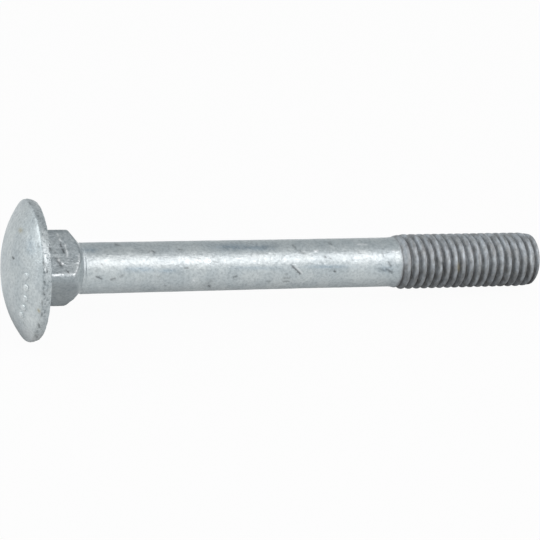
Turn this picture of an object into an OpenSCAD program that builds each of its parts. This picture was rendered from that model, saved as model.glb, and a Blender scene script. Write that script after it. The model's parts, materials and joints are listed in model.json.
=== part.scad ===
// Carriage bolt: domed head, square neck, reduced shank and a threaded end.
// It lies at rest: the rim of its head and the end of its thread touch the ground, Z = 0.
// The head points to -X, the thread to +X and slightly down. Millimetres.

/* [Head] */
// Diameter of the head at its widest ring
head_d = 19.2; // [16:0.1:24]
// Height of the dome's top above the seat
head_h = 4.2; // [3.8:0.1:6]
// Radius of the dome's sphere
dome_r = 17; // [15:0.5:24]
// Height of the rim's widest ring above the seat
rim_h = 0.8; // [0.5:0.1:1.1]
// Diameter of the seat, where the rim ends below
seat_d = 18.7; // [15.5:0.1:23.5]
// Draft of the rim from its widest ring to the dome, in degrees
rim_draft = 3; // [0:0.5:8]

/* [Neck] */
// Width across the flats of the square neck
neck_w = 8; // [7:0.1:10]
// Radius that rounds the four corners of the neck
neck_corner_r = 0.9; // [0.3:0.1:1.5]
// Length of the square neck below the seat
neck_h = 4.4; // [3.5:0.1:6]
// Turn of the neck about the bolt's axis, in degrees
neck_turn = 22; // [0:1:89]

/* [Shank] */
// Diameter of the plain shank, near the thread's pitch diameter
shank_d = 7; // [6.8:0.02:7.4]
// Length of the bolt below the seat
bolt_l = 75; // [60:1:110]

/* [Thread] */
// Outer diameter of the thread
thread_d = 7.96; // [7.6:0.02:8]
// Pitch of the right-hand thread
thread_pitch = 1.25; // [1:0.05:1.5]
// Depth of the thread from crest to root
thread_depth = 0.66; // [0.4:0.02:0.7]
// Width of the flat on the crest
crest_w = 0.26; // [0.1:0.02:0.35]
// Width of the flat at the root
root_w = 0.16; // [0.1:0.02:0.3]
// Turn of the thread about the bolt's axis, in degrees
thread_turn = 178; // [0:1:359]
// Length of the threaded end with its run-out
thread_l = 23.2; // [16:0.1:40]
// Length over which the thread grows out of the shank
runout_l = 2.6; // [1:0.1:4]
// Diameter of the flat end of the bolt
point_d = 7.2; // [6.8:0.1:7.5]
// Length of the taper at the end of the bolt
point_l = 0.9; // [0.5:0.1:2.5]

/* [Hidden] */
steel = [0.66, 0.68, 0.7];
$fn = 96;
head_r = head_d / 2;
seat_r = seat_d / 2;
shank_r = shank_d / 2;
crest_r = thread_d / 2;
point_r = point_d / 2;
root_r = crest_r - thread_depth;
// corner to axis of the rounded square
neck_r = neck_w / sqrt(2) - neck_corner_r * (sqrt(2) - 1);
// height of the dome's sphere centre, on the bolt's axis
dome_z = dome_r - head_h;
// how far the neck and the shank reach into the head
root_in = 0.5;
// where the corner's cone meets the shank
cone_z = neck_h + neck_r - shank_r;
// the thread's blank stays just inside the shank, so one clean ring joins them
blank_r = shank_r - 0.03;
thread_z = bolt_l - thread_l;
turn_n = 30;
// share of a step by which the thread's columns stand off angle 0, so a flat faces the ground
column_off = 0.5;
// turn of the head's seam away from the ground, in degrees
head_seam = 2.37;
flank_w = (thread_pitch - crest_w - root_w) / 2;
// heights along one pitch: root start, root end, crest start, crest end
form_z = [0, root_w, root_w + flank_w, root_w + flank_w + crest_w];
form_r = [root_r, root_r, crest_r, crest_r];
turns = ceil(thread_l / thread_pitch + 3.2);
rows = 4 * turns;
// the first turn of the grid lies inside the shank
grid_z = thread_z - (1.2 + thread_turn / 360) * thread_pitch;
// the taper at the end, as a radius for each height
function taper_r(z) = min(crest_r, point_r + (bolt_l - z) * (crest_r - point_r) / point_l);
function grow(z) = min(1, max(0, (z - thread_z) / runout_l));
function wall_r(z, r) = blank_r + grow(z) * (r - blank_r);
function grid_point(k, j) =
    let (z = grid_z + thread_pitch * (floor(k / 4) + (j - column_off) / turn_n) + form_z[k % 4],
         r = wall_r(z, form_r[k % 4]),
         a = 360 * (j - column_off) / turn_n)
    [r * cos(a), r * sin(a), z];
// the last rows only have the point of the first column
function grid_index(k, j) =
    j == turn_n ? grid_index(k + 4, 0) : k < rows ? k * turn_n + j : rows * turn_n + k - rows;

// where the bolt lies, its thread touches the ground at one crest near the end
crest_ends = [
    for (t = [0:turns])
        for (z = [0, 1, 2])
            let (z0 = grid_z + thread_pitch * (t - column_off / turn_n) + form_z[2],
                 z1 = z0 + crest_w,
                 e = z == 0 ? z0 : z == 1 ? z1 : min(z1, max(z0, bolt_l - point_l)))
            if (e <= bolt_l && e >= bolt_l - 6 * thread_pitch) e
];
lie_deg = min([
    for (z = crest_ends)
        atan((head_r - taper_r(z) * cos(360 * column_off / turn_n)) / (z + rim_h))
]);
seat_z = head_r * cos(lie_deg) - rim_h * sin(lie_deg);
head_x = dome_z * cos(lie_deg) - dome_r;
tip_x = bolt_l * cos(lie_deg) + point_r * sin(lie_deg);

// Screw thread as one closed grid that winds round its axis; its ends are hidden or cut off.
module thread_blank() {
    points = [
        for (k = [0:rows - 1]) for (j = [0:turn_n - 1]) grid_point(k, j),
        for (k = [rows:rows + 3]) grid_point(k, 0),
        [0, 0, grid_z + thread_pitch / 2],
        [0, 0, grid_z + thread_pitch * (turns + 0.5)]
    ];
    low = [for (j = [0:turn_n - 1]) grid_index(0, j), for (k = [4:-1:1]) grid_index(k, 0)];
    top = [for (j = [0:turn_n - 1]) grid_index(rows - 1, j), for (k = [3:-1:0]) grid_index(rows + k, 0)];
    n = turn_n + 4;
    faces = [
        for (k = [0:rows - 2])
            for (j = [0:turn_n - 1])
                for (t = [0, 1])
                    t == 0
                    ? [grid_index(k, j), grid_index(k + 1, j), grid_index(k + 1, j + 1)]
                    : [grid_index(k, j), grid_index(k + 1, j + 1), grid_index(k, j + 1)],
        for (i = [0:n - 1]) [rows * turn_n + 4, low[i], low[(i + 1) % n]],
        for (i = [0:n - 1]) [rows * turn_n + 5, top[(i + 1) % n], top[i]]
    ];
    polyhedron(points = points, faces = faces);
}

// Cuts the end of the thread flat and tapers its last crests.
module point_cutter() {
    out_r = crest_r + 1;
    out_z = bolt_l - point_l * (out_r - point_r) / (crest_r - point_r);
    rotate_extrude()
        polygon([
            [0, bolt_l],
            [point_r, bolt_l],
            [out_r, out_z],
            [out_r, bolt_l + 4 * thread_pitch],
            [0, bolt_l + 4 * thread_pitch]
        ]);
}

module threaded_end() {
    difference() {
        thread_blank();
        point_cutter();
    }
}

// Domed head: a slice of a sphere inside a slightly barrel-shaped rim.
module head() {
    intersection() {
        rotate([0, 0, head_seam])
            rotate_extrude()
                polygon([
                    [0, 0],
                    [seat_r, 0],
                    [head_r, -rim_h],
                    [head_r - (head_h - rim_h) * tan(rim_draft), -head_h],
                    [0, -head_h]
                ]);
        translate([0, 0, dome_z])
            sphere(r = dome_r);
    }
}

// Square neck with rounded corners, cut by the cone that leads into the shank.
module neck() {
    flat_w = neck_w - 2 * neck_corner_r;
    intersection() {
        rotate([0, 0, neck_turn])
            translate([0, 0, -root_in])
                linear_extrude(height = cone_z + root_in)
                    union() {
                        square([neck_w, flat_w], center = true);
                        square([flat_w, neck_w], center = true);
                        for (x = [-1, 1])
                            for (y = [-1, 1])
                                translate([x * flat_w / 2, y * flat_w / 2])
                                    circle(r = neck_corner_r);
                    }
        rotate_extrude()
            polygon([
                [0, -root_in],
                [neck_r + root_in, -root_in],
                [neck_r + root_in, neck_h - root_in],
                [shank_r, cone_z],
                [0, cone_z]
            ]);
    }
}

module shank() {
    translate([0, 0, -root_in])
        cylinder(r = shank_r, h = thread_z + root_in);
}

module carriage_bolt() {
    color(steel)
        translate([-(head_x + tip_x) / 2, 0, seat_z])
            rotate([0, 90 + lie_deg, 0])
                union() {
                    head();
                    neck();
                    shank();
                    threaded_end();
                }
}

carriage_bolt();
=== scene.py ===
"""Hot-dip galvanised carriage bolt lying on a pale floor.

The bolt is one closed surface round its own axis: a grid of stations along the bolt and angles
round it. Lengths in the shape functions are millimetres along the bolt's axis, counted from the
seat under the head towards the thread; they become metres in the shared frame at the end. Marks of
wear, painted shade and painted highlights are placed by the pixels of the photograph that show
them.
"""
import math

import bpy
import numpy as np
from mathutils import Matrix
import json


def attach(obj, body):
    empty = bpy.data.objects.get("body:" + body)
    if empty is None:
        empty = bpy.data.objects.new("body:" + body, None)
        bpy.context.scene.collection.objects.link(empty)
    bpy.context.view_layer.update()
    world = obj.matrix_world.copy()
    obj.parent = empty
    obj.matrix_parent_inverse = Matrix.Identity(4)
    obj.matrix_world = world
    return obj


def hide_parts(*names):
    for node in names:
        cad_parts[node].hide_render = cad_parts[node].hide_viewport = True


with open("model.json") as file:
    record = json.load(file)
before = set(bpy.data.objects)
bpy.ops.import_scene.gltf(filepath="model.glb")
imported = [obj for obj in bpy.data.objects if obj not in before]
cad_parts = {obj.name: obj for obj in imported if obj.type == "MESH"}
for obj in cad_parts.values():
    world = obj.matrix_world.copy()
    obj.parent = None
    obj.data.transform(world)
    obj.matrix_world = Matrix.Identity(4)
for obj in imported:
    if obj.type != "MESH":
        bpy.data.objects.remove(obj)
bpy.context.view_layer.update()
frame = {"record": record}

# The frame of the bolt: where its seat is, where its axis points, and the direction to the ground
MM = 0.001
seat_mount = next(m for m in frame["record"]["mounts"] if m["name"] == "head_seat")
SEAT = np.array(seat_mount["pos_m"]) / MM
AXIS = np.array(seat_mount["axis"])
AXIS = AXIS / np.linalg.norm(AXIS)
SIDE = np.array([0.0, 1.0, 0.0])
UNDER = np.cross(SIDE, AXIS)

# Sizes of the head, in millimetres
HEAD_R = 9.62
HEAD_EDGE_R = 9.54  # radius of the edge between the dome and the rim
HEAD_H = 4.21
DOME_FULL = 0.23  # share of the dome's height that is a quartic, which fills out its shoulder
EDGE_S = -1.27  # where that edge lies
RIM_S = -0.81  # where the rim is widest
SEAT_R = 9.34
HEAD_OFF = 0.14  # the head sits a little off the shank's axis
HEAD_TILT = math.radians(0.45)  # and leans a little, its upper side away from the thread
SEAT_EDGE_S = -0.02  # the seat falls away by this much at its edge
SEAT_FLAT_R = SEAT_R - 0.9
RIM_ROUNDS = [0.2, 0.2, 0.14, 0.3]  # reach of the round on each corner from the dome to the seat

# Sizes of the neck
NECK_HALF = 4.05
NECK_CORNER_R = 1.1
NECK_H = 4.24
NECK_OFF = 0.1  # the neck sits a little off the shank's axis, up in the photo
NECK_FILLET = 0.3  # round between the seat and the neck
CONE_ROUND = 0.3  # reach of the round where the cone cuts the neck
CONE_SLOPE = 1.14  # how much the cone loses in radius for its length
CONE_SKEW = 0.02  # the cone at its end is steeper above than below
CONE_LIFT = 0.1  # and stands out more there
NECK_R = NECK_HALF * math.sqrt(2) - NECK_CORNER_R * (math.sqrt(2) - 1)
NECK_ROLL = math.radians(-30.0)  # turn of a flat away from the camera
NECK_END_S = 6.2
STEP_HIGH = 0.06  # the shank stands up out of the cone's end by this step
STEP_SPAN = (NECK_END_S - 0.08, NECK_END_S + 0.04)
STEP_ROUND = 0.12
BEAD_S = NECK_END_S + 0.08  # a bead on the step's edge
BEAD_HIGH = 0.012
BEAD_WIDE = 0.1

# Sizes of the shank and the thread
SHANK_R = 3.49
SHANK_GROWTH = 0.04  # how much its radius grows on the way to the thread
SHANK_GROWS = (38.0, 50.0)  # and between which lengths
CREST_R = 3.975
THREAD_DEPTH = 0.64
PITCH = 1.25
CREST_S = 54.64  # where a crest passes the upper side in the photo
THREAD_S = 52.5  # where the run-out begins
TAPER_S = 73.2  # where the end begins to narrow
TAPER_ROUND = 0.05
BOLT_L = 74.95
END_R = 3.74
END_ROUND = 0.26

# Lengths over which the crests swell out of the shank, the groove deepens, and it fades at the tip
CREST_SWELLS = (THREAD_S - 0.9, THREAD_S + 1.9)
GROOVE_DEEPENS = (THREAD_S - 0.6, THREAD_S + 2.2)
GROOVE_FADES = (BOLT_L - 0.55, BOLT_L - 0.2)

# Stations of the grid: each span has its start, end and step along the bolt
TURN_STEPS = 160
DOME_STEPS = 40
DOME_END = 0.965  # share of the dome's radius at which its even rings end and the rim begins
RIM_STEP = 0.14
SEAT_ROUND_R = NECK_R + 0.9  # inside this the seat's rings turn from round to the neck's square
NECK_SPANS = [(NECK_FILLET + 0.2, 3.6, 0.2), (3.6, 6.0, 0.1), (6.0, 6.6, 0.05)]
SHANK_SPAN = (6.7, THREAD_S - 1.9, 0.175)
THREAD_SPAN = (THREAD_S - 1.8, BOLT_L - END_ROUND, PITCH / 10.5)

# The zinc's unevenness: a lump's height and size in millimetres, the number of waves, and the seed
ZINC_LUMPS = {"flow": (0.009, 2.6, 14, 3), "drops": (0.006, 0.95, 18, 4)}
RIM_LUMPS = {"dents": (0.02, 1.1, 18, 5), "grit": (0.014, 0.5, 20, 10)}
NECK_LUMPS = {"dents": (0.02, 1.6, 14, 6), "grit": (0.012, 0.45, 18, 7)}

# View of the photograph
PHOTO_PX = 540
FOCAL_PX = 1811.0
VIEW_SIDE = math.radians(21.19)  # how far the bolt points away from the camera
VIEW_ROLL = math.radians(1.2565)  # how far the bolt rises to the right
VIEW_UP = math.radians(35.0)  # how far the camera looks down on it
SEAT_SEEN = np.array([-31.4944, -0.1023, 242.4775])  # the seat's centre from the camera, in mm

FACING = -math.cos(VIEW_UP) * SIDE - math.sin(VIEW_UP) * UNDER  # square to the axis, to the camera
ABOVE = math.sin(VIEW_UP) * SIDE - math.cos(VIEW_UP) * UNDER  # square to the axis, up in the photo

# Marks on the bolt: nicks, pits and specks of wear, painted shade and painted highlights. Each has
# its two ends as pixels x, y, its width in pixels, its depth in millimetres and how dark it is.
# What stands out has a depth below zero, and what is painted bright as a highlight has a darkness
# below zero.
NICKS = {
    # on the shank; the bright entries are small raised spots painted bright as highlights
    "dark band over the shine": (226.0, 248.0, 276.0, 247.0, 2.8, 0.0, 0.16),
    "dull band by the neck": (90.0, 252.4, 160.0, 250.4, 3.6, 0.0, 0.07),
    "long nick": (292.6, 266.4, 300.0, 273.6, 1.2, 0.07, 0.75),
    "long nick's lip": (295.0, 266.0, 302.0, 273.0, 0.9, -0.04, -0.5),
    "slanted dash": (96.6, 276.6, 101.4, 278.9, 0.9, 0.04, 0.7),
    "flat dash": (111.4, 279.6, 114.8, 278.7, 0.9, 0.03, 0.6),
    "rising dash": (120.0, 276.7, 123.6, 275.1, 0.9, 0.03, 0.45),
    "upper dash": (115.4, 244.3, 118.8, 245.4, 1.1, 0.04, 0.5),
    "spot in the shine": (101.6, 264.0, 102.8, 265.6, 0.9, 0.03, 0.5),
    "faint spot beside it": (96.0, 269.0, 96.4, 272.0, 1.0, 0.02, 0.3),
    "ring left": (148.6, 252.6, 150.0, 250.4, 0.9, 0.04, 0.5),
    "ring right": (152.6, 250.6, 154.6, 252.6, 1.0, 0.05, 0.65),
    "ring's glint": (150.8, 252.8, 151.8, 252.6, 0.9, -0.03, -0.6),
    "cluster": (178.6, 249.2, 181.4, 249.8, 1.0, 0.03, 0.45),
    "squiggle": (197.6, 258.6, 200.4, 258.2, 0.8, 0.02, 0.35),
    "second squiggle": (212.6, 261.4, 217.0, 262.6, 0.8, 0.02, 0.4),
    "short line": (184.8, 268.0, 188.6, 267.9, 0.8, 0.03, 0.6),
    "faint line": (157.8, 277.0, 160.6, 276.6, 0.8, 0.02, 0.35),
    "dark spot low": (208.6, 286.0, 209.8, 286.6, 1.0, 0.04, 0.8),
    "haze round it": (206.0, 285.0, 211.0, 281.0, 2.4, 0.02, 0.22),
    "small spot low": (164.2, 285.2, 165.2, 285.8, 0.8, 0.02, 0.4),
    "bright speck": (193.4, 280.4, 194.4, 280.8, 0.8, -0.02, -0.6),
    "slanted spot": (233.8, 277.4, 236.8, 276.2, 0.9, 0.03, 0.65),
    "faint streak": (266.6, 281.2, 269.6, 281.7, 0.8, 0.02, 0.35),
    "upper streak": (283.4, 278.4, 290.4, 277.8, 0.8, 0.02, 0.45),
    "lower streak": (283.4, 281.6, 288.8, 281.2, 0.8, 0.02, 0.45),
    "streak's fleck": (285.2, 274.8, 287.6, 273.9, 0.8, 0.02, 0.35),
    "faint scratch": (280.6, 261.0, 281.8, 258.6, 0.7, 0.02, 0.35),
    "dark scab": (292.8, 245.0, 295.4, 247.6, 1.1, 0.04, 0.45),
    "scab's tail": (299.0, 250.6, 304.4, 253.4, 1.0, 0.03, 0.35),
    "bright chip": (314.4, 250.9, 317.4, 250.4, 0.9, -0.03, -0.8),
    "pin prick": (324.9, 256.8, 326.0, 257.8, 0.9, 0.04, 0.75),
    "second prick": (330.2, 258.3, 331.6, 258.5, 0.8, 0.03, 0.55),
    "third prick": (352.4, 259.2, 352.8, 260.0, 0.7, 0.02, 0.5),
    "round pit": (334.3, 271.2, 335.1, 271.7, 1.0, 0.04, 0.85),
    "dark fleck": (328.6, 242.8, 331.4, 244.4, 1.0, 0.03, 0.4),
    "bright fleck": (330.4, 246.0, 333.8, 247.6, 0.8, -0.03, -0.5),
    "bright arc": (358.0, 244.3, 366.6, 244.4, 0.7, -0.03, -0.7),
    "standing dash": (382.6, 253.6, 383.4, 256.6, 0.9, 0.03, 0.45),
    "scab by the thread": (388.6, 262.6, 390.8, 265.8, 1.1, 0.04, 0.6),
    "mottled left": (379.6, 269.0, 384.0, 270.8, 1.6, 0.03, 0.4),
    "mottled right": (387.0, 269.6, 391.6, 272.2, 1.5, 0.03, 0.6),
    "white fleck": (393.2, 250.2, 394.2, 250.8, 0.8, -0.02, -0.8),
    # on the head
    "speck on the dome": (12.6, 256.8, 13.8, 258.8, 0.7, 0.03, 1.0),
    "dot on the dome": (23.8, 323.4, 24.2, 324.0, 0.7, 0.02, 0.5),
    "dash on the dome": (38.8, 246.4, 39.8, 244.8, 0.7, 0.02, 0.5),
    "dark edge": (29.2, 202.4, 30.2, 203.8, 0.8, 0.04, 0.6),
    "rim shade": (36.6, 213.0, 40.0, 218.6, 1.8, 0.03, 0.2),
    "rim pit 1": (43.6, 262.6, 44.4, 265.0, 1.0, 0.05, 0.6),
    "rim pit 2": (46.8, 269.4, 47.2, 272.0, 1.0, 0.06, 0.8),
    "rim pit 3": (44.4, 282.8, 46.0, 281.4, 1.0, 0.05, 0.7),
    "rim pit 4": (43.4, 292.4, 44.2, 294.6, 1.0, 0.05, 0.6),
    "rim pit 5": (41.8, 302.4, 42.6, 304.4, 0.9, 0.05, 0.6),
    "rim pit 6": (40.8, 313.0, 42.0, 315.0, 1.0, 0.06, 0.8),
    "rim pit 7": (38.2, 324.8, 39.2, 327.0, 0.9, 0.05, 0.6),
    "rim pit 8": (35.6, 335.6, 37.0, 337.0, 1.0, 0.04, 0.5),
    # painted shade: darker towards the rim's lower part and along its foot
    "painted shade on the rim's middle": (46.8, 273.0, 46.0, 300.0, 3.4, 0.0, 0.09),
    "painted shade on the rim's lower part": (46.0, 304.0, 43.8, 323.0, 3.2, 0.0, 0.13),
    "painted shade by the rim's foot": (40.8, 314.0, 33.6, 338.0, 1.2, 0.0, 0.14),
    # painted light: the dome's lowest part is brightened where little light reaches it
    "painted light on the dome's lowest part": (25.0, 332.0, 30.0, 340.0, 4.0, 0.0, -0.4),
    "pit behind the rim": (49.6, 247.6, 50.2, 249.8, 0.9, 0.06, 0.9),
    # on the neck; painted shade on its flats, painted highlights on its edges, ridge, glints and
    # drips
    # painted shade: the upper flat, turned from the light, and the lower flat, over the shaded
    # floor
    "painted shade on the neck's upper flat": (56.0, 238.0, 74.0, 262.0, 12.0, 0.0, 0.06),
    "painted shade on the neck's lower flat": (52.0, 291.0, 76.0, 287.0, 8.0, 0.0, 0.12),
    # painted highlights along the flat's thin raised edge
    "edge of the flat": (79.4, 254.0, 78.9, 262.0, 0.8, -0.02, -0.45),
    "edge of the flat, lower": (78.7, 262.8, 75.6, 271.6, 0.9, -0.03, -0.6),
    "neck line": (60.2, 243.6, 64.4, 252.4, 1.0, 0.06, 0.9),
    # a raised ridge, painted bright as a highlight
    "neck ridge": (65.4, 245.0, 67.6, 256.4, 0.8, -0.05, -0.5),
    "neck crater": (56.8, 258.6, 61.0, 265.2, 1.7, 0.12, 0.7),
    # glints on small raised lumps by the crater and on the flat, painted highlights
    "crater's glint": (58.4, 259.4, 59.2, 260.4, 0.9, -0.05, -0.9),
    "crater's second glint": (61.8, 262.6, 62.8, 263.6, 0.8, -0.05, -0.9),
    "neck glint": (57.2, 233.6, 58.0, 235.6, 0.8, -0.04, -0.7),
    "neck second glint": (59.6, 238.4, 60.6, 240.2, 0.7, -0.04, -0.6),
    "neck dark dot": (53.6, 250.8, 54.6, 252.0, 0.9, 0.05, 0.6),
    # drips raised along the corner, painted bright as highlights
    "glinting corner drip 1": (53.4, 276.0, 55.8, 274.6, 0.9, -0.04, -0.45),
    "glinting corner drip 2": (57.0, 275.4, 59.6, 274.2, 0.9, -0.05, -0.5),
    "glinting corner drip 3": (62.0, 275.8, 63.4, 273.4, 0.9, -0.04, -0.4),
    "glinting corner drip 4": (69.4, 275.0, 71.4, 274.2, 0.8, -0.03, -0.3),
    "glinting corner drip 5": (73.4, 275.2, 75.2, 273.2, 0.9, -0.04, -0.4),
    "corner pit": (67.4, 271.0, 68.4, 272.2, 0.8, 0.06, 0.9),
    # on the thread
    "groove speck": (434.8, 257.6, 435.4, 260.4, 0.9, 0.03, 0.5),
    "groove scab": (442.8, 263.4, 443.6, 268.0, 1.1, 0.04, 0.6),
    "end glints": (530.6, 256.6, 530.9, 264.0, 0.7, -0.02, -0.5),
}

# The neck's front corner is uneven: its two ends and width in pixels, and its waves' height in mm
ROUGH_CORNER = (52.0, 276.5, 76.0, 275.5, 3.0)
ROUGH_CORNER_HIGH = 0.05

# Soft patches of another tone, and in the pale ones also painted light: pixel x, y, half width and
# half height in pixels, and share.
BLUE_PATCHES = {
    "under the shine": (140.0, 269.4, 14.0, 2.8, 0.9),
    "further along": (167.0, 270.6, 8.0, 2.2, 0.8),
    "upper left": (90.0, 250.4, 8.0, 2.8, 0.7),
    "upper middle": (231.0, 247.0, 15.0, 3.4, 0.9),
    "upper right": (259.0, 248.0, 14.0, 3.2, 1.0),
    "under the shine's middle": (256.0, 268.0, 24.0, 1.8, 0.6),
    "below the shine": (328.0, 266.8, 22.0, 1.8, 0.8),
    "by the thread": (386.0, 269.0, 9.0, 5.0, 0.7),
    "dome": (30.6, 247.0, 5.0, 8.0, 0.6),
}
PALE_AND_PAINTED_LIGHT_PATCHES = {
    "smear": (129.2, 252.4, 3.0, 2.4, 0.7),
    "dome smear": (27.4, 238.0, 1.6, 4.0, 0.5),
    # painted light from here to the cone: brightness standing in for light on the dome, its foot,
    # the rim, the shine and the cone
    "painted light on the dome by the edge": (36.0, 284.0, 7.0, 22.0, 0.6),
    "painted shine on the shine's lower side": (366.0, 264.5, 26.0, 5.0, 0.6),
    "painted light on the dome's foot": (28.0, 328.0, 16.0, 17.0, 1.0),
    "painted light on the dome's lowest part": (28.0, 337.0, 8.0, 8.0, 0.6),
    "painted highlight on the rim": (46.5, 256.0, 3.0, 9.0, 0.8),
    "painted light on the rim above": (38.0, 212.0, 5.0, 9.0, 0.5),
    "painted highlight beside the cone": (84.5, 256.0, 3.5, 8.0, 0.9),
    "painted highlight on the dome's upper edge": (38.0, 232.0, 2.0, 12.0, 0.5),
    "cone": (77.0, 267.0, 3.5, 10.0, 1.0),
    "wedge below the shine": (99.4, 286.8, 2.4, 1.4, 0.5),
}
STAINS = {
    "yellow stain": (20.6, 230.4, 1.9, 2.4, 0.55),
    "brown stain": (39.0, 310.6, 1.6, 1.3, 0.9),
    "brown in a groove": (458.6, 267.6, 1.2, 4.0, 0.5),
}

# Plain raised pips in an arc on the dome
PIP_COUNT = 5
PIP_ARC_R = 6.9
PIP_R = 0.5
PIP_HIGH = 0.22
FIRST_PIP = math.radians(6.0)  # its turn from the side that faces the camera, down in the photo
PIP_STEP = math.radians(13.0)  # turn from one pip to the next
PIP_PAINTED_SHINE = 0.9  # how much brighter the pips are painted, a painted highlight on their raised edges, as a share

# Zinc on head, neck and shank: a ramp's stops have their place and colour, a noise its scale
ZINC_CLOUDS = [(0.36, (0.45, 0.5, 0.52)), (0.64, (0.53, 0.575, 0.585))]
CLOUD_SCALE = 330
ZINC_GRAIN = [(0.3, (0.73, 0.74, 0.75)), (0.58, (1, 1, 1))]
GRAIN_SCALE = 2600
RIM_PITS = [(0.34, (0.55, 0.57, 0.58)), (0.48, (0.97, 0.97, 0.97))]
PIT_SCALE = 2700
BLUE_TINT = (0.72, 0.79, 0.86, 1)
PALE_TINT = (1.25, 1.23, 1.22, 1)
# NECK_SHADE_TINT darkens the neck under the head as painted shade
NECK_SHADE_TINT = (0.74, 0.75, 0.76, 1)

# Dull zinc of the thread, with brownish painted shade in its groove and on its lower side
DULL_CLOUDS = [(0.35, (0.315, 0.34, 0.36)), (0.65, (0.4, 0.43, 0.45))]
DULL_SCALE = 800
DULL_STREAKS = [(0.2, (0.80, 0.78, 0.76)), (0.8, (1.16, 1.17, 1.18))]
GROOVE_SHADE_TINT = (0.3, 0.28, 0.27, 1)

STAIN_COLOUR = (0.36, 0.31, 0.17, 1)
# DARK_COLOUR paints nicks, pits and painted shade; GLINT_COLOUR paints highlights
DARK_COLOUR = (0.05, 0.055, 0.06, 1)
GLINT_COLOUR = (0.8, 0.83, 0.84, 1)

# Gloss of the zinc and of the thread, and its bumps: a noise's scale and their height in metres
METALLIC, THREAD_METALLIC = 0.88, 0.7
ROUGH_LOW, ROUGH_HIGH, ROUGH_SCALE = 0.38, 0.52, 900
THREAD_ROUGHER, GLINT_SMOOTHER = 0.2, 0.15
FINE_BUMPS = (4200, 0.00003)
COARSE_BUMPS = (1900, 0.000062)

# The floor: its grey, how white it is shown, its radius in metres, and its number of sides
FLOOR_GREY = (0.42, 0.42, 0.42, 1.0)
FLOOR_GLOW = 0.96
FLOOR_R = 6.0
FLOOR_SIDES = 96

# Gloss on the bolt sees the floor's white only from this far off, from none to full, in metres.
# Between two places along the bolt that reach shifts, because the bolt lies lower at its thread.
WHITE_REACH = (0.0019, 0.0112)
SHIFT_PLACES = (-0.018, 0.012)
REACH_SHIFT = (-0.0014, 0.001)

WORLD_COLOUR = (0.58, 0.60, 0.61, 1)
KEY_COLOUR = (1.0, 0.94, 0.925)
SENSOR_MM = 36.0


def camera_axes():
    """Right, down and forward of the camera in the shared frame.

    The bolt's axis, the photo's up and the direction to the camera are known in both frames.
    """
    cos_side, sin_side = math.cos(VIEW_SIDE), math.sin(VIEW_SIDE)
    cos_roll, sin_roll = math.cos(VIEW_ROLL), math.sin(VIEW_ROLL)
    seen = [
        [cos_side * cos_roll, -cos_side * sin_roll, sin_side],
        [-sin_roll, -cos_roll, 0.0],
        [sin_side * cos_roll, -sin_side * sin_roll, -cos_side],
    ]
    return np.array(seen).T @ np.array([AXIS, ABOVE, FACING])


RIGHT, DOWN, FORWARD = camera_axes()
CAMERA = SEAT - SEAT_SEEN @ np.array([RIGHT, DOWN, FORWARD])


def in_photo(points):
    """Pixel x and y of each point: the focal length times its offset over its depth."""
    seen = (points - CAMERA) @ np.array([RIGHT, DOWN, FORWARD]).T
    return [PHOTO_PX / 2 + FOCAL_PX * seen[..., k] / seen[..., 2] for k in (0, 1)]


# Profile of the bolt
angle = np.arange(TURN_STEPS) * 2 * math.pi / TURN_STEPS
facing_angle = math.atan2(FACING @ SIDE, FACING @ UNDER)
above_angle = math.atan2(ABOVE @ SIDE, ABOVE @ UNDER)


def smooth_step(x, low, high):
    """Rises from 0 to 1 between low and high as 3t squared less 2t cubed."""
    t = np.clip((x - low) / (high - low), 0.0, 1.0)
    return t * t * (3 - 2 * t)


def soft_min(a, b, width):
    """The lesser of a and b, rounded off where they are within width of each other."""
    h = np.clip(0.5 + (b - a) / (2 * width), 0.0, 1.0)
    return b * (1 - h) + a * h - width * h * (1 - h)


def soft_max(a, b, width):
    """The greater of a and b, rounded off where they are within width of each other."""
    return -soft_min(-a, -b, width)


def dome_height(r):
    """Height of the dome over the seat, along the axis: a quadratic and a quartic in r."""
    q = (r / HEAD_EDGE_R) ** 2
    return -HEAD_H + (EDGE_S + HEAD_H) * ((1 - DOME_FULL) * q + DOME_FULL * q * q)


def rounded_path(points, radii, step):
    """Points along a polyline whose inner corners are rounded by quadratic curves of that reach.

    The straight stretches between two rounds are split evenly, at most step apart.
    """

    def straight(a, b):
        count = max(2, int(np.linalg.norm(b - a) / step) + 1)
        return a + np.linspace(0, 1, count)[1:, None] * (b - a)

    points = np.array(points, float)
    out = [points[0]]
    for k in range(1, len(points) - 1):
        back = points[k - 1] - points[k]
        ahead = points[k + 1] - points[k]
        a = points[k] + back / np.linalg.norm(back) * radii[k - 1]
        b = points[k] + ahead / np.linalg.norm(ahead) * radii[k - 1]
        t = np.linspace(0, 1, 6)[:, None]
        out.extend(straight(out[-1], a)[:-1])
        out.extend((1 - t) ** 2 * a + 2 * t * (1 - t) * points[k] + t**2 * b)
    out.extend(straight(out[-1], points[-1]))
    return np.array(out)


def square_radius(turn):
    """Distance from the axis to a square with round corners, in the direction of each angle.

    On a flat it is the half width over the cosine; at a corner it is the far crossing of the
    corner's circle.
    """
    beta = np.abs((turn + math.pi / 4) % (math.pi / 2) - math.pi / 4)
    flat = NECK_HALF / np.cos(beta)
    reach = (NECK_HALF - NECK_CORNER_R) * math.sqrt(2)
    gamma = beta - math.pi / 4
    corner = reach * np.cos(gamma) + np.sqrt(
        np.maximum(NECK_CORNER_R**2 - (reach * np.sin(gamma)) ** 2, 0.0)
    )
    return np.where(np.tan(beta) * NECK_HALF <= NECK_HALF - NECK_CORNER_R, flat, corner)


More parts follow.
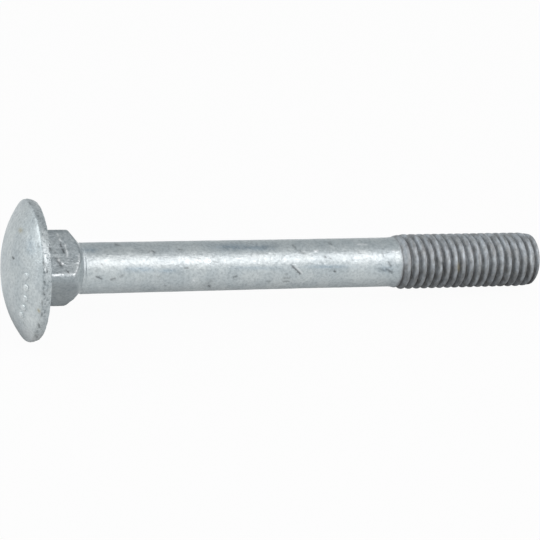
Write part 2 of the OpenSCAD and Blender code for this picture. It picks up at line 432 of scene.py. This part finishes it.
def neck_radius(s, turn):
    """Radius of the neck: the square cut by a cone that runs out just below the shank.

    The shank then stands up out of it by a small step with a bead on its edge.
    """
    lean = np.cos(turn + facing_angle + NECK_ROLL - above_angle)
    cone = NECK_R + CONE_LIFT * lean - (CONE_SLOPE + CONE_SKEW * lean) * (s - NECK_H)
    neck = soft_min(square_radius(turn) + NECK_OFF * lean, cone, CONE_ROUND)
    shank = SHANK_R - STEP_HIGH * (1 - smooth_step(s, *STEP_SPAN))
    shank = shank + BEAD_HIGH * np.exp(-(((s - BEAD_S) / BEAD_WIDE) ** 2))
    return soft_max(neck, shank + np.zeros_like(neck), STEP_ROUND)


def shank_radius(s):
    """Radius of the plain shank, which grows a little towards the thread."""
    return SHANK_R + SHANK_GROWTH * smooth_step(s, *SHANK_GROWS)


def thread_radius(s, turn):
    """Radius of the threaded end: a round crest and a narrow groove along a right-hand helix.

    The crest line swells out of the shank over the run-out and tapers off at the tip, where the
    groove runs out. The groove is the crest less its depth times groove_share.
    """
    swell = smooth_step(s, *CREST_SWELLS)
    crest = shank_radius(s) + (CREST_R - SHANK_R - SHANK_GROWTH) * swell
    depth = THREAD_DEPTH * smooth_step(s, *GROOVE_DEEPENS) * (1 - smooth_step(s, *GROOVE_FADES))
    radius = crest - depth * groove_share(s, turn)
    end = CREST_R - (CREST_R - END_R) * np.clip((s - TAPER_S) / (BOLT_L - TAPER_S), 0, 1)
    return soft_min(radius, end, TAPER_ROUND)


def groove_share(s, turn, ahead=0.06, power=2.8, wider=1.5):
    """1 at the bottom of the thread's groove, 0 on its crest.

    It is a power of half of one less the cosine of the helix phase. The power is less on the
    lower side in the photo, where the groove is wider. Ahead moves it, as a share of a turn.
    """
    phase = (s - CREST_S) / PITCH - (turn - above_angle) / (2 * math.pi) + ahead
    below = (0.5 - 0.5 * np.cos(turn - above_angle)) ** 2
    return (0.5 - 0.5 * np.cos(2 * math.pi * phase)) ** (power - wider * below)


def bolt_grid():
    """Lengths and radii of the whole bolt: two arrays with a row per station, a column per angle.

    The rows run from the dome's top over the rim and the seat, along neck, shank and thread, to
    the flat end. The two poles are single points and aren't in the grid.
    """
    turn = angle[None, :]
    neck_turn = turn - facing_angle - NECK_ROLL
    rows_s, rows_r = [], []

    def add(s, r):
        s, r = np.broadcast_arrays(np.asarray(s, float), np.asarray(r, float))
        rows_s.append(np.broadcast_to(s, (s.shape[0], TURN_STEPS)))
        rows_r.append(np.broadcast_to(r, (s.shape[0], TURN_STEPS)))

    r = np.linspace(0.02, DOME_END, DOME_STEPS)[:, None] * HEAD_EDGE_R
    add(dome_height(r), r)
    corners = [
        (dome_height(DOME_END * HEAD_EDGE_R), DOME_END * HEAD_EDGE_R),
        (EDGE_S, HEAD_EDGE_R),
        (RIM_S, HEAD_R),
        (SEAT_EDGE_S, SEAT_R),
        (0.0, SEAT_FLAT_R),
        (0.0, SEAT_ROUND_R),
    ]
    rim = rounded_path(corners, RIM_ROUNDS, RIM_STEP)[1:]
    add(rim[:, :1], rim[:, 1:])
    neck = neck_radius(np.full((1, 1), NECK_FILLET), neck_turn)
    t = np.linspace(0, 1, 9)[1:, None]
    add(0.0, SEAT_ROUND_R + (neck + NECK_FILLET - SEAT_ROUND_R) * t)
    a = np.linspace(0, math.pi / 2, 6)[1:, None]
    add(NECK_FILLET * (1 - np.cos(a)), neck + NECK_FILLET * (1 - np.sin(a)))
    s = np.concatenate([np.arange(*span) for span in NECK_SPANS])[:, None]
    add(s, neck_radius(s, neck_turn))
    s = np.arange(*SHANK_SPAN)[:, None]
    add(s, shank_radius(s))
    s = np.arange(*THREAD_SPAN)[:, None]
    add(s, thread_radius(s, turn))
    last = thread_radius(np.full((1, 1), BOLT_L - END_ROUND), turn)
    a = np.linspace(0, math.pi / 2, 5)[:, None]
    add(BOLT_L - END_ROUND * (1 - np.sin(a)), last - END_ROUND * (1 - np.cos(a)))
    t = np.linspace(1, 0.02, 8)[1:, None]
    add(BOLT_L, (last - END_ROUND) * t)
    return np.vstack(rows_s), np.vstack(rows_r)


def place(s, r):
    """Points in the shared frame, in millimetres, from lengths along the axis and radii.

    The head is moved off the axis, down in the photo, and along it by its lean. Over the seat the
    move fades towards the neck.
    """
    across = np.cos(angle)[:, None] * UNDER + np.sin(angle)[:, None] * SIDE
    points = SEAT + s[..., None] * AXIS + r[..., None] * across[None, :, :]
    head = np.where(s < EDGE_S, 1.0, (s <= 0) * seat_share(r))
    lean = HEAD_TILT * r * (across @ ABOVE)[None, :]
    return points - head[..., None] * (HEAD_OFF * ABOVE + lean[..., None] * AXIS)


def seat_share(r):
    """Rises from 0 by the neck to 1 by the rim, over the seat."""
    return smooth_step(r, NECK_R + 0.6, SEAT_R - 0.6)


def grid_normals(points):
    """Outward normals of the grid from the cross product of its two directions of travel."""
    along = np.gradient(points, axis=0)
    around = np.roll(points, -1, axis=1) - np.roll(points, 1, axis=1)
    n = np.cross(around, along)
    return n / np.maximum(np.linalg.norm(n, axis=2, keepdims=True), 1e-9)


def lumps(points, size, count, seed):
    """Smooth random relief from -1 to 1: a sum of sine waves in random directions."""
    rng = np.random.default_rng(seed)
    out = np.zeros(points.shape[:-1])
    for _ in range(count):
        wave = rng.normal(size=3)
        wave *= 2 * math.pi / size * rng.uniform(0.6, 1.5) / np.linalg.norm(wave)
        out += np.sin(points @ wave + rng.uniform(0, 2 * math.pi))
    return out / math.sqrt(count / 2) / 2


def all_lumps(points, kinds):
    """The sum of several kinds of lumps, each its height times its random relief."""
    each = kinds.values()
    return sum(high * lumps(points, size, count, seed) for high, size, count, seed in each)


def grid_mesh(name, points, poles):
    """One closed mesh from a grid that wraps round, with a fan of triangles to each pole."""
    rows, cols = points.shape[:2]
    first = np.arange(rows - 1)[:, None] * cols
    j = np.arange(cols)[None, :]
    k = (j + 1) % cols
    quads = np.stack([first + j, first + k, first + cols + k, first + cols + j], axis=-1)
    quads = quads.reshape(-1, 4)
    start, end = rows * cols, rows * cols + 1
    j, k = j[0], k[0]
    fan_a = np.stack([np.full(cols, start), k, j], axis=-1)
    fan_b = np.stack([np.full(cols, end), (rows - 1) * cols + j, (rows - 1) * cols + k], axis=-1)
    verts = np.concatenate([points.reshape(-1, 3), np.array(poles)]) * MM
    mesh = bpy.data.meshes.new(name)
    mesh.vertices.add(len(verts))
    mesh.vertices.foreach_set("co", verts.astype(np.float32).ravel())
    loops = np.concatenate([quads.ravel(), fan_a.ravel(), fan_b.ravel()])
    sizes = np.concatenate([np.full(len(quads), 4), np.full(2 * cols, 3)])
    starts = np.concatenate([[0], np.cumsum(sizes)[:-1]])
    mesh.loops.add(len(loops))
    mesh.loops.foreach_set("vertex_index", loops.astype(np.int32))
    mesh.polygons.add(len(sizes))
    mesh.polygons.foreach_set("loop_start", starts.astype(np.int32))
    mesh.polygons.foreach_set("loop_total", sizes.astype(np.int32))
    mesh.update(calc_edges=True)
    mesh.validate()
    mesh.shade_smooth()
    piece = bpy.data.objects.new(name, mesh)
    bpy.context.scene.collection.objects.link(piece)
    return piece


def vertex_values(mesh, name, values):
    """Stores one number per vertex as an attribute that materials read."""
    layer = mesh.attributes.new(name, "FLOAT", "POINT")
    layer.data.foreach_set("value", values.astype(np.float32))


def with_poles(values):
    """The grid's values as one list, then each pole's, which is the mean of the row next to it."""
    return np.concatenate([values.ravel(), [values[0].mean(), values[-1].mean()]])


length, radius = bolt_grid()
points = place(length, radius)
normals = grid_normals(points)
pixel_x, pixel_y = in_photo(points)
toward = CAMERA - points
toward = (normals * toward).sum(-1) / np.linalg.norm(toward, axis=-1)
in_sight = np.clip(toward / 0.1, 0.0, 1.0)
wobble = 1.0 + 0.6 * lumps(points, size=0.35, count=18, seed=8)  # makes the marks' edges uneven


def near_line(x0, y0, x1, y1, wide):
    """1 on the line between two pixels, falling off as a bell curve of the distance to it."""
    px, py = pixel_x - x0, pixel_y - y0
    dx, dy = x1 - x0, y1 - y0
    t = np.clip((px * dx + py * dy) / max(dx * dx + dy * dy, 1e-6), 0.0, 1.0)
    apart = (px - t * dx) ** 2 + (py - t * dy) ** 2
    return np.exp(-apart / (wide * wobble) ** 2) * in_sight


def near_spot(x, y, half_wide, half_high):
    """1 at a pixel, falling off as a bell curve over an upright ellipse round it."""
    apart = ((pixel_x - x) / half_wide) ** 2 + ((pixel_y - y) / half_high) ** 2
    return np.exp(-apart) * in_sight


def total(patches):
    """The sum of soft patches, each a spot times its share."""
    return sum(share * near_spot(x, y, wide, high) for x, y, wide, high, share in patches.values())


thread_share = smooth_step(length, THREAD_S - 0.3, THREAD_S + 0.5)
on_rim = smooth_step(length, EDGE_S - 0.1, EDGE_S + 0.1) * (length <= 0) * (radius > SEAT_R - 0.3)
flat_r = square_radius(angle[None, :] - facing_angle - NECK_ROLL)
on_neck = (length > 0.0) * (length < 6.0) * smooth_step(radius, flat_r - 0.4, flat_r - 0.15)
on_neck = on_neck * (radius < NECK_R + 0.4)
relief = all_lumps(points, ZINC_LUMPS)
relief += on_rim * all_lumps(points, RIM_LUMPS)
relief += on_neck * all_lumps(points, NECK_LUMPS)
relief += ROUGH_CORNER_HIGH * near_line(*ROUGH_CORNER) * (wobble - 1)
# dark gathers nicks, pits and painted shade; glint gathers painted highlights
dark = np.zeros_like(length)
glint = np.zeros_like(length)
for x0, y0, x1, y1, wide, depth, shade in NICKS.values():
    mark = near_line(x0, y0, x1, y1, wide)
    relief -= depth * mark
    dark = np.maximum(dark, mark * max(shade, 0.0))
    glint = np.maximum(glint, mark * max(-shade, 0.0))
points = points + normals * relief[..., None]
# painted shade: a narrow dark line along the groove's shaded wall, and more shade on the thread's
# lower side
groove = groove_share(length, angle[None, :], ahead=0.17, power=4.5, wider=2.5)
groove *= smooth_step(length, THREAD_S - 0.4, THREAD_S + 1.0)
thread_low_shade = smooth_step(0.5 - 0.5 * np.cos(angle[None, :] - above_angle), 0.5, 0.8)
groove = (groove + 0.4 * thread_share * thread_low_shade) * (radius > 0.8 * SHANK_R)
stretched = points + 5.0 * length[..., None] * AXIS  # so that lumps become streaks round the bolt
streak = 0.5 + 0.5 * lumps(stretched, size=1.9, count=24, seed=9)
poles = [SEAT - HEAD_H * AXIS - HEAD_OFF * ABOVE, SEAT + BOLT_L * AXIS]
bolt = grid_mesh("galvanised_bolt", points, poles)
floor_z = min(float(points[..., 2].min()), 0.0)
# groove, neck and dark carry painted shade, and glint and pale painted highlights, along with real
# marks
for name, values in (
    ("thread", thread_share),
    ("groove", groove),
    ("streak", streak),
    ("rim", on_rim),
    ("neck", on_neck.astype(float)),
    ("dark", dark),
    ("glint", glint),
    ("blue", total(BLUE_PATCHES) * np.clip(wobble, 0.3, 1.5)),
    ("pale", total(PALE_AND_PAINTED_LIGHT_PATCHES)),
    ("stain", total(STAINS)),
):
    vertex_values(bolt.data, name, with_poles(values))


# Raised pips on the dome
def pip_grid(turn):
    """Grid and poles of a low round pip on the dome at one angle, half sunk in it.

    It is an ellipsoid: rings of sine radius and cosine height about the dome's normal there, which
    leans from the axis by the slope of dome_height.
    """
    across = math.cos(turn) * UNDER + math.sin(turn) * SIDE
    lean = HEAD_TILT * PIP_ARC_R * (across @ ABOVE)
    middle = SEAT + (dome_height(PIP_ARC_R) - lean) * AXIS + PIP_ARC_R * across - HEAD_OFF * ABOVE
    slope = (dome_height(PIP_ARC_R + 0.01) - dome_height(PIP_ARC_R - 0.01)) / 0.02
    up = (slope * across - AXIS) / math.hypot(slope, 1.0)
    u = np.cross(AXIS, across)
    v = np.cross(u, up)
    down = np.linspace(0, math.pi, 14)[1:-1, None, None]
    a = np.linspace(0, 2 * math.pi, 24, endpoint=False)[None, :, None]
    rings = middle + PIP_R * np.sin(down) * (np.cos(a) * u + np.sin(a) * v)
    tips = [middle + PIP_HIGH * up, middle - PIP_HIGH * up]
    return rings + PIP_HIGH * np.cos(down) * up, tips


zinc_pieces = [bolt]
for k in range(PIP_COUNT):
    pip = grid_mesh(f"pip_{k + 1}", *pip_grid(facing_angle + FIRST_PIP + k * PIP_STEP))
    # each pip is painted pale all over, a painted highlight
    vertex_values(pip.data, "pale", np.full(len(pip.data.vertices), PIP_PAINTED_SHINE))
    zinc_pieces.append(pip)


# Materials
def socket(node, name, value):
    """Sets one input of a shader node."""
    node.inputs[name].default_value = value


def feed(tree, target, value):
    """Links another node's output to an input, or sets the input to a plain value."""
    if isinstance(value, bpy.types.NodeSocket):
        tree.links.new(value, target)
    else:
        target.default_value = value


def math_node(tree, kind, a, b, clamp=False):
    """The sum, difference or product of two values, kept within 0 and 1 where clamp is set."""
    node = tree.nodes.new("ShaderNodeMath")
    node.operation = kind
    node.use_clamp = clamp
    feed(tree, node.inputs[0], a)
    feed(tree, node.inputs[1], b)
    return node.outputs["Value"]


def map_range(tree, value, source, target=(0.0, 1.0)):
    """A value moved evenly from one range to another and kept within it."""
    node = tree.nodes.new("ShaderNodeMapRange")
    for name, limit in zip(("From Min", "From Max", "To Min", "To Max"), (*source, *target)):
        socket(node, name, limit)
    tree.links.new(value, node.inputs["Value"])
    return node.outputs["Result"]


def galvanised_zinc():
    """Dull mottled zinc with cloudy brightness and a fine grain; the thread is darker and matt.

    Vertex attributes tell where the thread, its groove, the rim and the neck are, and where marks
    are dark, bright, bluish, pale or stained. Shade is painted into the groove, onto the thread's
    lower side, the neck, two of its flats and the rim, and highlights are painted as glints and
    pale patches.
    """
    material = bpy.data.materials.new("galvanised_zinc")
    material.use_nodes = True
    tree = material.node_tree
    shader = tree.nodes["Principled BSDF"]
    coords = tree.nodes.new("ShaderNodeTexCoord")

    def noise(scale, detail, rough=0.55):
        node = tree.nodes.new("ShaderNodeTexNoise")
        socket(node, "Scale", scale)
        socket(node, "Detail", detail)
        socket(node, "Roughness", rough)
        tree.links.new(coords.outputs["Object"], node.inputs["Vector"])
        return node.outputs["Fac"]

    def share_of(name):
        node = tree.nodes.new("ShaderNodeAttribute")
        node.attribute_name = name
        return node.outputs["Fac"]

    def ramp(value, stops):
        node = tree.nodes.new("ShaderNodeValToRGB")
        while len(node.color_ramp.elements) < len(stops):
            node.color_ramp.elements.new(0.5)
        for element, (place_at, colour) in zip(node.color_ramp.elements, stops):
            element.position = place_at
            element.color = (*colour, 1.0)
        tree.links.new(value, node.inputs["Fac"])
        return node.outputs["Color"]

    def mix(fac, a, b, kind="MIX"):
        node = tree.nodes.new("ShaderNodeMix")
        node.data_type = "RGBA"
        node.blend_type = kind
        for name, value in (("Factor", fac), ("A", a), ("B", b)):
            kinds = ("VALUE",) if name == "Factor" else ("RGBA",)
            feed(tree, next(i for i in node.inputs if i.name == name and i.type in kinds), value)
        return next(o for o in node.outputs if o.type == "RGBA")

    def tinted(share, colour, tint):
        return mix(share, colour, mix(1.0, colour, tint, "MULTIPLY"))

    def bumps(scale, high):
        node = tree.nodes.new("ShaderNodeBump")
        socket(node, "Strength", 1.0)
        socket(node, "Distance", high)
        tree.links.new(noise(scale, 3, 0.6), node.inputs["Height"])
        return node

    thread = share_of("thread")
    grain = ramp(noise(GRAIN_SCALE, 3, 0.65), ZINC_GRAIN)
    zinc = mix(1.0, ramp(noise(CLOUD_SCALE, 4, 0.5), ZINC_CLOUDS), grain, "MULTIPLY")
    zinc = tinted(share_of("blue"), zinc, BLUE_TINT)
    # pale tone, and painted light where the pale patches and the pips are painted bright
    zinc = tinted(share_of("pale"), zinc, PALE_TINT)
    zinc = tinted(share_of("rim"), zinc, ramp(noise(PIT_SCALE, 2, 0.5), RIM_PITS))
    # painted shade on the neck
    zinc = tinted(share_of("neck"), zinc, NECK_SHADE_TINT)
    dull = mix(1.0, ramp(noise(DULL_SCALE, 3), DULL_CLOUDS), grain, "MULTIPLY")
    dull = mix(1.0, dull, ramp(share_of("streak"), DULL_STREAKS), "MULTIPLY")
    # painted shade in the groove and on the thread's lower side
    dull = tinted(share_of("groove"), dull, GROOVE_SHADE_TINT)
    colour = mix(thread, zinc, dull)
    colour = mix(share_of("stain"), colour, STAIN_COLOUR)
    # nicks, pits and painted shade, then painted highlights
    colour = mix(share_of("dark"), colour, DARK_COLOUR)
    colour = mix(share_of("glint"), colour, GLINT_COLOUR)
    tree.links.new(colour, shader.inputs["Base Color"])
    metallic = map_range(tree, thread, (0.0, 1.0), (METALLIC, THREAD_METALLIC))
    tree.links.new(metallic, shader.inputs["Metallic"])
    rough = map_range(tree, noise(ROUGH_SCALE, 3), (0.3, 0.7), (ROUGH_LOW, ROUGH_HIGH))
    rough = math_node(tree, "ADD", rough, math_node(tree, "MULTIPLY", thread, THREAD_ROUGHER))
    smoother = math_node(tree, "MULTIPLY", share_of("glint"), GLINT_SMOOTHER)
    tree.links.new(math_node(tree, "SUBTRACT", rough, smoother), shader.inputs["Roughness"])
    fine, coarse = bumps(*FINE_BUMPS), bumps(*COARSE_BUMPS)
    tree.links.new(fine.outputs["Normal"], coarse.inputs["Normal"])
    tree.links.new(coarse.outputs["Normal"], shader.inputs["Normal"])
    return material


zinc = galvanised_zinc()
for piece in zinc_pieces:
    piece.data.materials.append(zinc)
    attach(piece, "root")
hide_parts("carriage_bolt")


def white_floor():
    """Matt white ground, mostly shown at full white to camera and gloss so that it stays pale.

    Gloss sees it so only from further off than the bolt's own shadow reaches, which is shorter
    where the bolt lies lower.
    """
    material = bpy.data.materials.new("white_floor")
    material.use_nodes = True
    tree = material.node_tree
    shader = tree.nodes["Principled BSDF"]
    socket(shader, "Base Color", FLOOR_GREY)
    socket(shader, "Roughness", 0.9)
    socket(shader, "Specular IOR Level", 0.0)
    glow = tree.nodes.new("ShaderNodeEmission")
    socket(glow, "Color", (1, 1, 1, 1))
    rays = tree.nodes.new("ShaderNodeLightPath").outputs
    coords = tree.nodes.new("ShaderNodeTexCoord")
    place_on_floor = tree.nodes.new("ShaderNodeSeparateXYZ")
    tree.links.new(coords.outputs["Object"], place_on_floor.inputs["Vector"])
    shift = map_range(tree, place_on_floor.outputs["X"], SHIFT_PLACES, REACH_SHIFT)
    far = map_range(tree, math_node(tree, "ADD", shift, rays["Ray Length"]), WHITE_REACH)
    gloss = math_node(tree, "MULTIPLY", rays["Is Glossy Ray"], far, clamp=True)
    seen = math_node(tree, "ADD", rays["Is Camera Ray"], gloss, clamp=True)
    seen = math_node(tree, "ADD", seen, rays["Is Transmission Ray"], clamp=True)
    blend = tree.nodes.new("ShaderNodeMixShader")
    tree.links.new(math_node(tree, "MULTIPLY", seen, FLOOR_GLOW, clamp=True), blend.inputs["Fac"])
    tree.links.new(shader.outputs["BSDF"], blend.inputs[1])
    tree.links.new(glow.outputs["Emission"], blend.inputs[2])
    tree.links.new(blend.outputs["Shader"], tree.nodes["Material Output"].inputs["Surface"])
    return material


def floor_piece():
    """A flat disc far wider than the bolt, at the height of its lowest point."""
    mesh = bpy.data.meshes.new("floor")
    turn = np.linspace(0, 2 * math.pi, FLOOR_SIDES, endpoint=False)
    height = np.full(FLOOR_SIDES, floor_z * MM)
    ring = np.stack([np.cos(turn) * FLOOR_R, np.sin(turn) * FLOOR_R, height], axis=-1)
    mesh.from_pydata(ring.tolist(), [], [list(range(FLOOR_SIDES))])
    mesh.materials.append(white_floor())
    piece = bpy.data.objects.new("floor", mesh)
    bpy.context.scene.collection.objects.link(piece)
    return piece


floor_piece()


# Light and camera
def soft_lamp(name, direction, distance, wide, high, power, along):
    """A rectangular lamp off the bolt's middle, facing it, with its width along a direction."""
    lamp = bpy.data.lights.new(name, "AREA")
    lamp.shape = "RECTANGLE"
    lamp.size, lamp.size_y, lamp.energy = wide, high, power
    piece = bpy.data.objects.new(name, lamp)
    bpy.context.scene.collection.objects.link(piece)
    back = np.array(direction) / np.linalg.norm(direction)
    x = along - (along @ back) * back
    x /= np.linalg.norm(x)
    y = np.cross(back, x)
    middle = (SEAT + BOLT_L / 2 * AXIS) * MM
    at = middle + back * distance
    piece.matrix_world = Matrix([(x[i], y[i], back[i], at[i]) for i in range(3)] + [(0, 0, 0, 1)])
    return piece


def tilted(degrees_above, toward_tip=0.0):
    """Direction from the bolt, degrees above the camera's direction round the axis."""
    a = math.radians(degrees_above)
    return math.cos(a) * FACING + math.sin(a) * ABOVE + toward_tip * AXIS


from_above, from_below = tilted(24.5, 0.3), tilted(-22, 0.35)
from_head = -AXIS + 0.2 * FACING + 0.6 * ABOVE
key = soft_lamp("key", from_above, distance=0.6, wide=0.84, high=0.28, power=2.45, along=AXIS)
key.data.color = KEY_COLOUR
soft_lamp("fill", from_below, distance=0.7, wide=0.9, high=0.45, power=0.62, along=AXIS)
soft_lamp("side", from_head, distance=0.6, wide=0.5, high=0.5, power=1.5, along=SIDE)

world = bpy.data.worlds.new("studio")
world.use_nodes = True
socket(world.node_tree.nodes["Background"], "Color", WORLD_COLOUR)
socket(world.node_tree.nodes["Background"], "Strength", 1.0)
bpy.context.scene.world = world

lens = bpy.data.cameras.new("camera")
lens.sensor_width = SENSOR_MM
lens.lens = SENSOR_MM * FOCAL_PX / PHOTO_PX
lens.clip_start, lens.clip_end = 0.01, 50.0
camera = bpy.data.objects.new("camera", lens)
bpy.context.scene.collection.objects.link(camera)
camera.matrix_world = Matrix(
    [(RIGHT[i], -DOWN[i], -FORWARD[i], CAMERA[i] * MM) for i in range(3)] + [(0, 0, 0, 1)]
)
bpy.context.scene.camera = camera
bpy.context.scene.view_settings.view_transform = "Standard"
